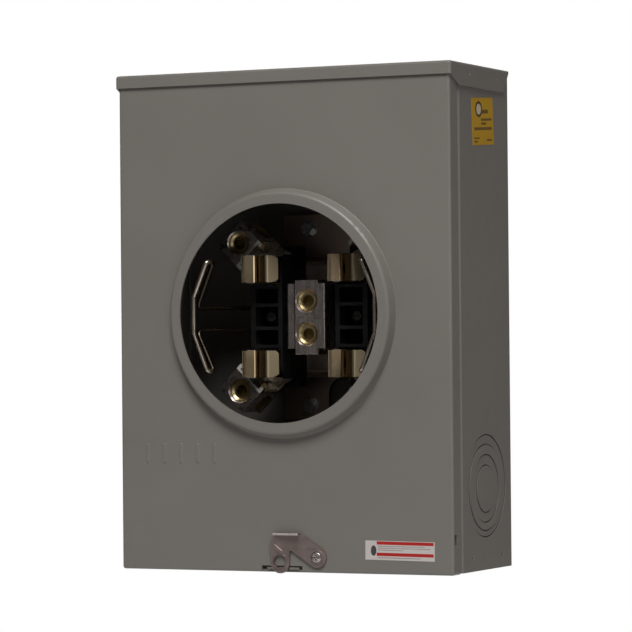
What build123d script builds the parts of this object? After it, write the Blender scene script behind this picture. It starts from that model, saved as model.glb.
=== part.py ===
from build123d import *
import os

# Ringless meter socket enclosure with four jaws, for the outside of a wall.
# Row frame: +X right and +Z up as seen from the front, +Y into the wall.
# The origin is on the back plane (the wall), behind the centre of the meter opening.
# All sizes are in millimetres.

os.makedirs("parts", exist_ok=True)

# ---- Driving dimensions: sheet metal box ----
SHEET = 1.5  # painted steel sheet
BEND = 2.25  # centreline radius of a sheet bend
HALF_WIDTH = 136.0  # outside of a side wall
DEPTH = 113.0  # back plane to the face of the cover
WALL_TOP = 179.5  # upper edge of the walls, under the cap
WALL_BOTTOM = -190.3  # lower edge of the side walls
JOGGLE_AT = 95.5  # distance from the back plane where the side walls step in
JOGGLE = 2.2  # how far they step in, to take the cover's side flanges
LIP_DEPTH = 110.25  # centreline of the inward lip at the front of each side wall
LIP_EDGE = 124.3  # free edge of that lip
WALL_HOLE_RADIUS = 3.5
WALL_HOLE_SPACING = (190.5, 304.8)
WALL_HOLES_CENTRE_Z = -5.0

FLOOR_OUTER = -188.9  # outside of the bottom wall
FLOOR_FLANGE = 18.0

CAP_TOP = 181.0
CAP_HALF = 137.5
CAP_FRONT = 114.9  # outside of the cap's front lip
CAP_LIP_BOTTOM = 171.4  # lower edge of that lip, where the cover pivots
CAP_SIDE_BOTTOM = 164.0
CAP_SIDE_FRONT = 97.5  # the sides' lower edge runs between these distances from the wall
CAP_SIDE_REAR = 13.5

# ---- Driving dimensions: cover ----
COVER_HALF = 135.7
COVER_TOP = 179.0
COVER_BOTTOM = -191.0
COVER_FLANGE = 14.0
OPENING_RADIUS = 81.0  # meter opening
RING_RISE = 8.0
RING_CREST = 88.8  # radius where the raised ring starts to slope down
RING_FOOT = 91.6  # radius where the slope meets the flat face
RING_BEND = 2.4

# ---- Driving dimensions: latch ----
LATCH_GAP = 0.4  # air between the cover's face and the latch
PIVOT_X = 27.5
PIVOT_Z = -179.5
LOBE_RADIUS = 7.5
RIVET_RADIUS = 2.5
SEAL_X = -2.5
SEAL_Z = -183.2
SEAL_HOLE_RADIUS = 4.9

# ---- Driving dimensions: socket ----
SOCKET_Z = -1.8  # the socket sits a little below the centre of the opening
JAW_SPACING = 71.4  # between the blade slots of the jaws, both ways
BRACKET_SHEET = 2.0
BRACKET_FACE = 25.0  # front of the bracket's platform, from the back plane
BAR_SHEET = 2.5
BLOCK_END = 40.5  # front of the blocks' ends, under the terminal bars
BLOCK_FRONT = 67.0
LEAF = 1.6  # jaw strip
JAW_HEIGHT = 20.0
LUG_FRONT = 73.0
LUG_OFFSET = 28.4  # from a jaw's centre to its lug's centre, along the diagonal
LUG_LENGTH = 20.6  # along the diagonal
LUG_WIDTH = 27.0  # along the conductor
CONDUCTOR_RADIUS = 7.6
CONDUCTOR_AT = 52.5  # conductor's centreline, from the back plane
SET_SCREW_RADIUS = 8.2
SET_SCREW_HOLE = 8.3
SET_SCREW_LENGTH = 10.0
SET_SCREW_TRAVEL = 7.0
WIRE_RADIUS = 1.8

HALF_JAWS = JAW_SPACING / 2
THROUGH = 80.0  # longer than anything that is cut right through
BAR_FACE = BLOCK_END + BAR_SHEET
CORNERS = {
    "upper_left": (-1, 1),
    "upper_right": (1, 1),
    "lower_left": (-1, -1),
    "lower_right": (1, -1),
}
SIDES = {"left": -1, "right": 1}


def front_plane(distance, x=0.0, z=0.0):
    """A plane that faces out of the box, at a distance from the wall: local x is +X, local y is +Z."""
    return Plane(origin=(x, -distance, z), x_dir=(1, 0, 0), z_dir=(0, -1, 0))


def side_plane(side, distance, z, offset=HALF_WIDTH):
    """The outside of a side wall: local y is +Z, and the plane looks away from the box."""
    return Plane(origin=(side * offset, -distance, z), x_dir=(0, side, 0), z_dir=(side, 0, 0))


def corner_plane(corner, distance):
    """A front-facing plane at a jaw's centre, with local x along the outward diagonal."""
    right, up = CORNERS[corner]
    centre = (right * HALF_JAWS, -distance, SOCKET_Z + up * HALF_JAWS)
    return Plane(origin=centre, x_dir=(right, 0, up), z_dir=(0, -1, 0))


# ==== Knockouts ====
# Each is a set of discs inside one another, eccentric towards the bottom.
GROOVE = 0.8
GROOVE_DEPTH = 1.1
PRESS = 0.5  # how far every other ring is pressed inwards
LARGE_KNOCKOUT = [(75.4, 0.0), (63.5, 1.2), (50.0, 2.0), (34.9, 2.2)]  # diameter, drop
SMALL_KNOCKOUT = [(28.2, 0.0), (22.2, 0.0)]


def knockout_grooves(outside, rings):
    """The metal that a set of knockout rings takes off the outside of a wall."""
    with BuildPart() as grooves:
        for diameter, drop in rings:
            with BuildSketch(outside):
                with Locations((0, -drop)):
                    Circle((diameter + GROOVE) / 2)
                    Circle((diameter - GROOVE) / 2, mode=Mode.SUBTRACT)
            extrude(amount=-GROOVE_DEPTH)
        for (outer, outer_drop), (inner, inner_drop) in zip(rings[::2], rings[1::2]):
            with BuildSketch(outside):
                with Locations((0, -outer_drop)):
                    Circle(outer / 2)
                with Locations((0, -inner_drop)):
                    Circle(inner / 2, mode=Mode.SUBTRACT)
            extrude(amount=-PRESS)
    return grooves.part


def knockout_ledges(outside, rings):
    """The same rings' metal that stands proud on the inside of the wall."""
    with BuildPart() as ledges:
        for (outer, outer_drop), (inner, inner_drop) in zip(rings[::2], rings[1::2]):
            with BuildSketch(outside.offset(-SHEET)):
                with Locations((0, -outer_drop)):
                    Circle(outer / 2 - GROOVE)
                with Locations((0, -inner_drop)):
                    Circle(inner / 2 + GROOVE, mode=Mode.SUBTRACT)
            extrude(amount=-PRESS)
    return ledges.part


# ==== Box shell: the back and both sides, bent from one sheet ====
KNOCKOUT_AT = (51.0, -128.4)  # distance from the wall, height
BACK_KNOCKOUT_Z = -135.0
WELDS = [(77.0, -180.3), (20.0, -180.7)]  # distance from the wall, height
WELD_RADIUS = 1.7
WELD_DENT = 0.8
PAD_X = 28.0
PAD_Z = 68.0
PAD_RISE = 3.0
PAD_RADIUS = 9.0
PAD_HOLE_RADIUS = 2.5
TIP_ROOM = 6.5  # how far the cover's top edge tips back into the box
WALL_MID = HALF_WIDTH - SHEET / 2

side_knockouts = [side_plane(side, *KNOCKOUT_AT) for side in SIDES.values()]
side_grooves = [knockout_grooves(plane, LARGE_KNOCKOUT) for plane in side_knockouts]
side_ledges = [knockout_ledges(plane, LARGE_KNOCKOUT) for plane in side_knockouts]
back_outside = Plane(origin=(0, 0, BACK_KNOCKOUT_Z), x_dir=(-1, 0, 0), z_dir=(0, 1, 0))
back_grooves = knockout_grooves(back_outside, LARGE_KNOCKOUT[:2])

with BuildPart() as box_shell:
    with BuildSketch(Plane.XY.offset(WALL_BOTTOM)):
        with BuildLine():
            FilletPolyline(
                (0, -SHEET / 2),
                (WALL_MID, -SHEET / 2),
                (WALL_MID, -JOGGLE_AT),
                (WALL_MID - JOGGLE, -JOGGLE_AT - 2),
                (WALL_MID - JOGGLE, -LIP_DEPTH),
                (LIP_EDGE, -LIP_DEPTH),
                radius=[BEND, SHEET, SHEET, BEND],
            )
            mirror(about=Plane.YZ)
        trace(line_width=SHEET)
    extrude(amount=WALL_TOP - WALL_BOTTOM)
    with Locations((0, -DEPTH, FLOOR_OUTER)):
        Box(2 * HALF_WIDTH, 30, 10, align=(Align.CENTER, Align.CENTER, Align.MAX), mode=Mode.SUBTRACT)
    with Locations((0, -DEPTH, CAP_LIP_BOTTOM - SHEET)):
        Box(
            2 * HALF_WIDTH,
            2 * TIP_ROOM,
            20,
            align=(Align.CENTER, Align.CENTER, Align.MIN),
            mode=Mode.SUBTRACT,
        )
    with BuildSketch(front_plane(SHEET, z=SOCKET_Z)):
        with GridLocations(2 * PAD_X, 2 * PAD_Z, 2, 2):
            Circle(PAD_RADIUS)
    extrude(amount=PAD_RISE, taper=20)
    with BuildSketch(front_plane(0, z=SOCKET_Z)):
        with GridLocations(2 * PAD_X, 2 * PAD_Z, 2, 2):
            Circle(PAD_RADIUS - SHEET / 2)
    extrude(amount=PAD_RISE, taper=20, mode=Mode.SUBTRACT)
    with BuildSketch(front_plane(0, z=SOCKET_Z)):
        with GridLocations(2 * PAD_X, 2 * PAD_Z, 2, 2):
            Circle(PAD_HOLE_RADIUS)
    extrude(amount=THROUGH, mode=Mode.SUBTRACT)
    with BuildSketch(front_plane(0, z=WALL_HOLES_CENTRE_Z)):
        with GridLocations(*WALL_HOLE_SPACING, 2, 2):
            Circle(WALL_HOLE_RADIUS)
    extrude(amount=2 * SHEET, mode=Mode.SUBTRACT)
    add(side_ledges)
    add(side_grooves, mode=Mode.SUBTRACT)
    add(back_grooves, mode=Mode.SUBTRACT)
    for side in SIDES.values():
        for weld in WELDS:
            with BuildSketch(side_plane(side, *weld)):
                Circle(WELD_RADIUS)
            extrude(amount=-WELD_DENT, taper=45, mode=Mode.SUBTRACT)
box_shell.part.label = "box_shell"
export_step(box_shell.part, "parts/box_shell.step")


# ==== Bottom wall, with up-turned flanges and the seal tab ====
FLOOR_BACK = SHEET + 0.1
FLOOR_HALF = HALF_WIDTH - SHEET - 0.2
FLOOR_STEP = JOGGLE_AT - 0.5
FLOOR_FRONT = LIP_DEPTH - SHEET / 2 - 0.2
SEAL_TAB_X = -1.0
SEAL_TAB_WIDTH = 26.0
SEAL_TAB_FRONT = 112.5
SEAL_WIRE_RADIUS = 2.5
SEAL_WIRE_AT = 105.5
FLOOR_KNOCKOUT_AT = 50.0
SMALL_KNOCKOUT_SPACING = 160.0

floor_outside = Plane(origin=(0, -FLOOR_KNOCKOUT_AT, FLOOR_OUTER), x_dir=(1, 0, 0), z_dir=(0, 0, -1))
small_places = [floor_outside.move(Pos(X=side * SMALL_KNOCKOUT_SPACING / 2)) for side in (-1, 1)]
floor_grooves = [knockout_grooves(floor_outside, LARGE_KNOCKOUT)]
floor_grooves += [knockout_grooves(plane, SMALL_KNOCKOUT) for plane in small_places]
floor_ledges = [knockout_ledges(floor_outside, LARGE_KNOCKOUT)]

with BuildPart() as bottom_wall:
    with BuildSketch(Plane.XY.offset(FLOOR_OUTER)):
        with BuildLine():
            Polyline(
                (0, -FLOOR_BACK),
                (FLOOR_HALF, -FLOOR_BACK),
                (FLOOR_HALF, -FLOOR_STEP),
                (FLOOR_HALF - JOGGLE, -FLOOR_STEP - 3),
                (FLOOR_HALF - JOGGLE, -FLOOR_FRONT),
                (0, -FLOOR_FRONT),
            )
            mirror(about=Plane.YZ)
        make_face()
        with Locations((SEAL_TAB_X, -SEAL_TAB_FRONT)):
            Rectangle(SEAL_TAB_WIDTH, 10, align=(Align.CENTER, Align.MIN))
        with Locations((SEAL_TAB_X, -SEAL_WIRE_AT)):
            Circle(SEAL_WIRE_RADIUS, mode=Mode.SUBTRACT)
    extrude(amount=SHEET)
    with BuildSketch(Plane.XY.offset(FLOOR_OUTER)):
        for side in (-1, 1):
            with Locations((side * (FLOOR_HALF - SHEET / 2), -FLOOR_STEP / 2)):
                Rectangle(SHEET, FLOOR_STEP - 8)
        with Locations((0, -FLOOR_BACK - SHEET / 2)):
            Rectangle(2 * FLOOR_HALF - 12, SHEET)
    extrude(amount=FLOOR_FLANGE)
    add(floor_ledges)
    add(floor_grooves, mode=Mode.SUBTRACT)
bottom_wall.part.label = "bottom_wall"
export_step(bottom_wall.part, "parts/bottom_wall.step")


# ==== Top cap: the top wall with a front drip lip and turned-down sides ====
CAP_WELDS = [(80.2, 173.5), (27.1, 173.5)]
CAP_BEND = 2.0

with BuildPart() as top_cap:
    with BuildSketch(Plane.XY.offset(CAP_TOP)):
        Rectangle(2 * CAP_HALF, CAP_FRONT, align=(Align.CENTER, Align.MAX))
    extrude(amount=CAP_SIDE_BOTTOM - CAP_TOP)
    cap_front = top_cap.faces().sort_by(Axis.Y)[0]
    cap_sides = top_cap.faces().filter_by(Axis.X)
    bends = cap_front.edges().filter_by(Axis.Z) + cap_front.edges().sort_by(Axis.Z)[-1:]
    bends += cap_sides.edges().filter_by(Axis.Y).group_by(Axis.Z)[-1]
    fillet(bends, radius=CAP_BEND)
    cap_open = top_cap.faces().sort_by(Axis.Z)[0:1] + top_cap.faces().sort_by(Axis.Y)[-1:]
    offset(amount=-SHEET, openings=cap_open)
    with BuildSketch(Plane.YZ.offset(-CAP_HALF)):
        with BuildLine():
            Polyline(
                (-CAP_FRONT - 1, CAP_LIP_BOTTOM),
                (-CAP_FRONT + SHEET, CAP_LIP_BOTTOM),
                (-CAP_SIDE_FRONT, CAP_SIDE_BOTTOM),
                (-CAP_SIDE_FRONT, CAP_SIDE_BOTTOM - 1),
                (-CAP_FRONT - 1, CAP_SIDE_BOTTOM - 1),
                close=True,
            )
        make_face()
        with BuildLine():
            Polyline(
                (-CAP_SIDE_REAR, CAP_SIDE_BOTTOM),
                (-2, CAP_TOP),
                (1, CAP_TOP),
                (1, CAP_SIDE_BOTTOM),
                close=True,
            )
        make_face()
    extrude(amount=2 * CAP_HALF, mode=Mode.SUBTRACT)
    for side in SIDES.values():
        for weld in CAP_WELDS:
            with BuildSketch(side_plane(side, *weld, offset=CAP_HALF)):
                Circle(WELD_RADIUS)
            extrude(amount=-WELD_DENT, taper=45, mode=Mode.SUBTRACT)
top_cap.part.label = "top_cap"
export_step(top_cap.part, "parts/top_cap.step")


# ==== Front cover ====
COVER_BEND = 2.0
RING_CUT = 95.0  # where the flat sheet ends and the ring's own section starts
FACE_MID = DEPTH - SHEET / 2
RING_MID = DEPTH + RING_RISE - SHEET / 2
RIBS_AT = (-85.0, -103.6)
RIB_COUNT = 5  # plain upright ribs pressed out of the cover
RIB_PITCH = 14.0
RIB_SIZE = (3.0, 15.0)
RIB_HEIGHT = 0.5
FLANGE_NOTCH = (4.5, 7.5)
FLANGE_NOTCH_AT = (108.4, -165.5)
COVER_SLOT = (-18.4, 14.8, -190.6, -186.2)  # left, right, bottom, top

with BuildPart() as front_cover:
    with BuildSketch(front_plane(DEPTH - COVER_FLANGE, z=(COVER_TOP + COVER_BOTTOM) / 2)):
        Rectangle(2 * COVER_HALF, COVER_TOP - COVER_BOTTOM)
    extrude(amount=COVER_FLANGE)
    face = front_cover.faces().sort_by(Axis.Y)[0]
    low_face = front_cover.faces().sort_by(Axis.Z)[0]
    bends = face.edges().filter_by(Axis.Z) + face.edges().sort_by(Axis.Z)[:1]
    bends += low_face.edges().filter_by(Axis.Y)
    fillet(bends, radius=COVER_BEND)
    cover_open = front_cover.faces().sort_by(Axis.Y)[-1:] + front_cover.faces().sort_by(Axis.Z)[-1:]
    offset(amount=-SHEET, openings=cover_open)
    # the side flanges are rounded off about the pivot, so that the top edge can tip back
    with BuildSketch(Plane.YZ.offset(-COVER_HALF)):
        with Locations((-DEPTH, CAP_LIP_BOTTOM)):
            Rectangle(2 * COVER_FLANGE, COVER_FLANGE, align=(Align.CENTER, Align.MIN))
            Circle(COVER_FLANGE, mode=Mode.SUBTRACT)
    extrude(amount=2 * COVER_HALF, mode=Mode.SUBTRACT)
    with BuildSketch(front_plane(DEPTH)):
        Circle(RING_CUT)
    extrude(amount=-2 * SHEET, mode=Mode.SUBTRACT)
    with BuildSketch():
        with BuildLine():
            FilletPolyline(
                (OPENING_RADIUS, -RING_MID),
                (RING_CREST, -RING_MID),
                (RING_FOOT, -FACE_MID),
                (RING_CUT, -FACE_MID),
                radius=[RING_BEND, RING_BEND - 1],
            )
        trace(line_width=SHEET)
    revolve(axis=Axis.Y)
    with BuildSketch(front_plane(DEPTH)):
        with Locations(RIBS_AT):
            with GridLocations(RIB_PITCH, 1, RIB_COUNT, 1):
                RectangleRounded(*RIB_SIZE, 1.2)
    extrude(amount=RIB_HEIGHT, taper=45)
    with BuildSketch(front_plane(DEPTH)):
        slot_left, slot_right, slot_bottom, slot_top = COVER_SLOT
        with Locations(((slot_left + slot_right) / 2, (slot_bottom + slot_top) / 2)):
            Rectangle(slot_right - slot_left, slot_top - slot_bottom)
        with Locations((PIVOT_X, PIVOT_Z)):
            Circle(RIVET_RADIUS + 0.05)
    extrude(amount=-SHEET, mode=Mode.SUBTRACT)
    with Locations((SEAL_TAB_X, -SEAL_WIRE_AT, COVER_BOTTOM)):
        Cylinder(SEAL_WIRE_RADIUS, 4 * SHEET, mode=Mode.SUBTRACT)
    for side in SIDES.values():
        notch_distance, notch_z = FLANGE_NOTCH_AT
        with Locations((side * COVER_HALF, -notch_distance, notch_z)):
            Box(4 * SHEET, *FLANGE_NOTCH, mode=Mode.SUBTRACT)
front_cover.part.label = "front_cover"
export_step(front_cover.part, "parts/front_cover.step")


# ==== Latch: a sealing hasp that turns on a rivet in front of the cover ====
LATCH_BACK = DEPTH + LATCH_GAP
LATCH_FACE = LATCH_BACK + SHEET
LATCH_TOP = -162.0
LATCH_CROTCH = (5.4, -174.0)  # inner corner between the two legs
LIP_HEIGHT = 4.0
LIP_CENTRE = 3.7
LIP_WIDTH = 20.4
EYE_RADIUS = 7.5
EYE_Z = -184.3  # the eye's outline sits a little below its hole
LIP_ROUND = 0.7
LEG_TANGENT = (4.0, 6.35)  # where the pivot leg's edges run off the lobe
RIDGES = [((PIVOT_X, PIVOT_Z), 5.6, 4.2), ((SEAL_X, SEAL_Z), 6.2, 5.1)]  # centre, outer and inner radius
RIDGE_RISE = 0.6
STIFFENER_AT = (-4.4, -173.8)
STIFFENER = (10.5, 3.4)
STIFFENER_ANGLE = -37
STIFFENER_RISE = 1.3

with BuildPart() as latch:
    with BuildSketch(front_plane(LATCH_BACK)):
        with Locations((PIVOT_X, PIVOT_Z)):
            Circle(LOBE_RADIUS)
        with Locations((SEAL_X, EYE_Z)):
            Circle(EYE_RADIUS)
        with BuildLine():
            Polyline(
                (PIVOT_X + LEG_TANGENT[0], PIVOT_Z + LEG_TANGENT[1]),
                (14.3, LATCH_TOP),
                (-6.9, LATCH_TOP),
                (-10.9, -168.0),
                (SEAL_X - EYE_RADIUS, EYE_Z),
                (SEAL_X + EYE_RADIUS, EYE_Z),
                LATCH_CROTCH,
                (PIVOT_X - LEG_TANGENT[0], PIVOT_Z - LEG_TANGENT[1]),
                close=True,
            )
        make_face()
        with Locations((PIVOT_X, PIVOT_Z)):
            Circle(RIVET_RADIUS + 0.1, mode=Mode.SUBTRACT)
        with Locations((SEAL_X, SEAL_Z)):
            Circle(SEAL_HOLE_RADIUS, mode=Mode.SUBTRACT)
    extrude(amount=SHEET)
    # thumb lip along the top edge
    with Locations((LIP_CENTRE, -LATCH_BACK, LATCH_TOP)):
        Box(LIP_WIDTH, SHEET + LIP_HEIGHT, SHEET, align=(Align.CENTER, Align.MAX, Align.MAX))
    lip_edge = latch.edges().filter_by(Axis.X).group_by(Axis.Z)[-1].sort_by(Axis.Y)[:1]
    fillet(lip_edge, radius=LIP_ROUND)
    thumb_bend = latch.edges().filter_by(Axis.X).group_by(Axis.Z)[-1].sort_by(Axis.Y)[-1:]
    fillet(thumb_bend, radius=SHEET * 0.9)
    crotch = (LATCH_CROTCH[0], -LATCH_BACK, LATCH_CROTCH[1])
    inner_corner = latch.edges().filter_by(Axis.Y).sort_by_distance(crotch)[:1]
    fillet(inner_corner, radius=1.0)
    for centre, outer, inner in RIDGES:
        with BuildSketch(front_plane(LATCH_FACE)):
            with Locations(centre):
                Circle(outer)
                Circle(inner, mode=Mode.SUBTRACT)
        extrude(amount=RIDGE_RISE, taper=15)
    with BuildSketch(front_plane(LATCH_FACE)):
        with Locations(STIFFENER_AT):
            SlotOverall(*STIFFENER, rotation=STIFFENER_ANGLE)
    extrude(amount=STIFFENER_RISE, taper=30)
latch.part.label = "latch"
export_step(latch.part, "parts/latch.step")

RIVET_HEAD = 3.7
RIVET_HEAD_RISE = 1.3
RIVET_TAIL_RISE = 1.2
RIVET_CUP = 2.6
with BuildPart() as latch_rivet:
    with BuildSketch(front_plane(DEPTH - SHEET, PIVOT_X, PIVOT_Z)):
        Circle(RIVET_HEAD)
    extrude(amount=-RIVET_TAIL_RISE)
    with BuildSketch(front_plane(LATCH_FACE + 0.1, PIVOT_X, PIVOT_Z)):
        Circle(RIVET_HEAD)
    extrude(amount=RIVET_HEAD_RISE)
    fillet(latch_rivet.faces().sort_by(Axis.Y)[0].edges(), radius=0.6)
    with BuildSketch(front_plane(DEPTH - SHEET - 0.5, PIVOT_X, PIVOT_Z)):
        Circle(RIVET_RADIUS)
    extrude(amount=LATCH_GAP + 2 * SHEET + 1.0)
    # the tubular end is rolled outwards, which leaves a cup with a star of splits
    with BuildSketch(front_plane(LATCH_FACE + 0.1 + RIVET_HEAD_RISE, PIVOT_X, PIVOT_Z)):
        Circle(RIVET_CUP)
    extrude(amount=-1.0, taper=35, mode=Mode.SUBTRACT)
    with BuildSketch(front_plane(LATCH_FACE + 0.1 + RIVET_HEAD_RISE, PIVOT_X, PIVOT_Z)):
        Circle(RIVET_CUP / 2)
        with PolarLocations(0, 3):
            Rectangle(4.4, 0.6)
    extrude(amount=-1.8, mode=Mode.SUBTRACT)
latch_rivet.part.label = "latch_rivet"
export_step(latch_rivet.part, "parts/latch_rivet.step")


# ==== Socket bracket: a hat section in galvanized steel, and its screws ====
BRACKET_HALF = 49.6
FOOT = SHEET + PAD_RISE + BRACKET_SHEET / 2  # centreline of the feet
PLATFORM = BRACKET_FACE - BRACKET_SHEET / 2
FOOT_END = 79.0  # half height of the whole bracket
FOOT_START = 44.5
PLATFORM_HALF = 41.0
NOTCH_RADIUS = 12.4
NOTCH_TOP = 59.0
BRACKET_SCREW_RADIUS = 2.4
STRAP_SCREW_PITCH = 63.0
STRAP_SCREW_RADIUS = 1.75
BLOCK_SCREW_RADIUS = 1.9
SCREW_AIR = 0.2  # between a screw's shank and its hole

with BuildPart() as socket_bracket:
    with BuildSketch(Plane.YZ.offset(-BRACKET_HALF)):
        with BuildLine():
            FilletPolyline(
                (-FOOT, SOCKET_Z + FOOT_END),
                (-FOOT, SOCKET_Z + FOOT_START),
                (-PLATFORM, SOCKET_Z + PLATFORM_HALF),
                (-PLATFORM, SOCKET_Z - PLATFORM_HALF),
                (-FOOT, SOCKET_Z - FOOT_START),
                (-FOOT, SOCKET_Z - FOOT_END),
                radius=3,
            )
        trace(line_width=BRACKET_SHEET)
    extrude(amount=2 * BRACKET_HALF)
    with BuildSketch(front_plane(0, z=SOCKET_Z - NOTCH_TOP)):
        Circle(NOTCH_RADIUS)
        Rectangle(2 * NOTCH_RADIUS, FOOT_END, align=(Align.CENTER, Align.MAX))
    extrude(amount=2 * FOOT, mode=Mode.SUBTRACT)
    with BuildSketch(front_plane(0, z=SOCKET_Z)):
        with GridLocations(2 * PAD_X, 2 * PAD_Z, 2, 2):
            Circle(BRACKET_SCREW_RADIUS + SCREW_AIR)
    extrude(amount=2 * FOOT, mode=Mode.SUBTRACT)
    with BuildSketch(front_plane(BRACKET_FACE, z=SOCKET_Z)):
        with GridLocations(JAW_SPACING, 1, 2, 1):
            Circle(BLOCK_SCREW_RADIUS + SCREW_AIR)
        with GridLocations(1, STRAP_SCREW_PITCH, 1, 2):
            Circle(STRAP_SCREW_RADIUS + SCREW_AIR)
    extrude(amount=-2 * BRACKET_SHEET, mode=Mode.SUBTRACT)
socket_bracket.part.label = "socket_bracket"
export_step(socket_bracket.part, "parts/socket_bracket.step")

WASHER_RADIUS = 6.2
WASHER = 1.0
HEX_HEAD = 9.2
HEX_HEAD_RISE = 4.5

with BuildPart() as bracket_screws:
    with BuildSketch(front_plane(SHEET + PAD_RISE + BRACKET_SHEET, z=SOCKET_Z)):
        with GridLocations(2 * PAD_X, 2 * PAD_Z, 2, 2):
            Circle(WASHER_RADIUS)
    extrude(amount=WASHER)
    with BuildSketch(front_plane(SHEET + PAD_RISE + BRACKET_SHEET, z=SOCKET_Z)):
        with GridLocations(2 * PAD_X, 2 * PAD_Z, 2, 2):
            RegularPolygon(HEX_HEAD / 2, 6, major_radius=False)
    extrude(amount=HEX_HEAD_RISE)
    fillet(bracket_screws.faces().filter_by(Axis.Y).group_by(Axis.Y)[0].edges(), radius=0.6)
    with BuildSketch(front_plane(SHEET + PAD_RISE + BRACKET_SHEET, z=SOCKET_Z)):
        with GridLocations(2 * PAD_X, 2 * PAD_Z, 2, 2):
            Circle(BRACKET_SCREW_RADIUS)
    extrude(amount=-6)
bracket_screws.part.label = "bracket_screws"
export_step(bracket_screws.part, "parts/bracket_screws.step")


# ==== Insulating blocks ====
BLOCK_INNER = 22.0
BLOCK_OUTER = 48.5
BLOCK_HALF = 54.0
BLOCK_MIDDLE = 23.5  # half height of the tall middle part
BARRIER_HALF = 47.0
CELL_DEPTH = 20.0
CELL_FLOOR = BLOCK_FRONT - CELL_DEPTH
CELLS = [(-15.6, 11.2), (0.0, 15.0), (15.6, 11.2)]  # centre height, height
CELL_WIDTH = 19.0
CELL_CENTRE = 35.0
BARRIER = 2.0
BLOCK_SCREW_SEAT = 56.0
BLOCK_SCREW_BOSS = 5.5
BAR_SCREW_RADIUS = 1.95
BAR_SCREW_DEPTH = 13.0
SUPPORT_LEGS_Z = (-10.3, 6.6)  # lower and upper leg of each wire, from the socket's centre
SUPPORT_ROOT = (46.0, 58.0)  # x and distance from the wall where a wire ends in its block
SUPPORT_ELBOW = (75.5, 103.4)

for name, side in SIDES.items():
    leg_direction = (side * (SUPPORT_ELBOW[0] - SUPPORT_ROOT[0]), -(SUPPORT_ELBOW[1] - SUPPORT_ROOT[1]), 0)
    with BuildPart() as insulator:
        with BuildSketch(front_plane(BRACKET_FACE, z=SOCKET_Z)):
            with Locations((side * (BLOCK_INNER + BLOCK_OUTER) / 2, 0)):
                RectangleRounded(BLOCK_OUTER - BLOCK_INNER, 2 * BLOCK_HALF, 3)
        extrude(amount=BLOCK_END - BRACKET_FACE)
        with BuildSketch(front_plane(BRACKET_FACE, z=SOCKET_Z)):
            with Locations((side * (BLOCK_INNER + BLOCK_OUTER) / 2, 0)):
                RectangleRounded(BLOCK_OUTER - BLOCK_INNER, 2 * BLOCK_MIDDLE, 1.5)
        extrude(amount=BLOCK_FRONT - BRACKET_FACE)
        with BuildSketch(Plane.YZ.offset(side * BLOCK_INNER)):
            with Locations((-(BLOCK_FRONT + BRACKET_FACE) / 2, SOCKET_Z)):
                RectangleRounded(BLOCK_FRONT - BRACKET_FACE, 2 * BARRIER_HALF, 9)
        extrude(amount=side * BARRIER)
        for cell_z, cell_height in CELLS:
            with BuildSketch(front_plane(BLOCK_FRONT, z=SOCKET_Z + cell_z)):
                with Locations((side * CELL_CENTRE, 0)):
                    RectangleRounded(CELL_WIDTH, cell_height, 1.2)
            extrude(amount=-CELL_DEPTH, mode=Mode.SUBTRACT)
        with BuildSketch(front_plane(CELL_FLOOR, x=side * HALF_JAWS, z=SOCKET_Z)):
            Circle(BLOCK_SCREW_BOSS)
        extrude(amount=BLOCK_SCREW_SEAT - CELL_FLOOR)
        with BuildSketch(front_plane(BLOCK_SCREW_SEAT, x=side * HALF_JAWS, z=SOCKET_Z)):
            Circle(BLOCK_SCREW_RADIUS + SCREW_AIR)
        extrude(amount=-THROUGH, mode=Mode.SUBTRACT)
        with BuildSketch(front_plane(BLOCK_END, x=side * HALF_JAWS, z=SOCKET_Z)):
            with GridLocations(1, JAW_SPACING, 1, 2):
                Circle(BAR_SCREW_RADIUS + SCREW_AIR)
        extrude(amount=-BAR_SCREW_DEPTH, mode=Mode.SUBTRACT)
        for leg_z in SUPPORT_LEGS_Z:
            root = (side * SUPPORT_ROOT[0], -SUPPORT_ROOT[1], SOCKET_Z + leg_z)
            with BuildSketch(Plane(origin=root, z_dir=leg_direction)):
                Circle(WIRE_RADIUS + SCREW_AIR)
            extrude(amount=BLOCK_OUTER - BLOCK_INNER, mode=Mode.SUBTRACT)
    insulator.part.label = f"insulator_{name}"
    export_step(insulator.part, f"parts/insulator_{name}.step")

BLOCK_SCREW_HEAD = 4.3
BLOCK_SCREW_RISE = 2.6
with BuildPart() as block_screws:
    with BuildSketch(front_plane(BLOCK_SCREW_SEAT, z=SOCKET_Z)):
        with GridLocations(JAW_SPACING, 1, 2, 1):
            Circle(BLOCK_SCREW_HEAD)
    extrude(amount=BLOCK_SCREW_RISE)
    fillet(block_screws.faces().group_by(Axis.Y)[0].edges(), radius=1.2)
    with BuildSketch(front_plane(BLOCK_SCREW_SEAT, z=SOCKET_Z)):
        with GridLocations(JAW_SPACING, 1, 2, 1):
            Circle(BLOCK_SCREW_RADIUS)
    extrude(amount=-36)
    with BuildSketch(front_plane(BLOCK_SCREW_SEAT + BLOCK_SCREW_RISE, z=SOCKET_Z)):
        with GridLocations(JAW_SPACING, 1, 2, 1):
            SlotOverall(6.5, 1.2)
    extrude(amount=-BLOCK_SCREW_RISE / 2, mode=Mode.SUBTRACT)
block_screws.part.label = "block_screws"
export_step(block_screws.part, "parts/block_screws.step")


# ==== Terminal bars: a round pad under each jaw, a strip to the lug and an upright plate ====
UPRIGHT = (16.2, 17.9)  # inner and outer face of the upright plate, along the diagonal
BAR_END = 39.5
BAR_PAD_RADIUS = 15.5
BAR_CLEAR = 0.4
LUG_SCREW_RADIUS = 2.2
TAB = (3.2, 2.8, 4.0)  # small ears at the ends of the upright plate's free edge

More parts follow.
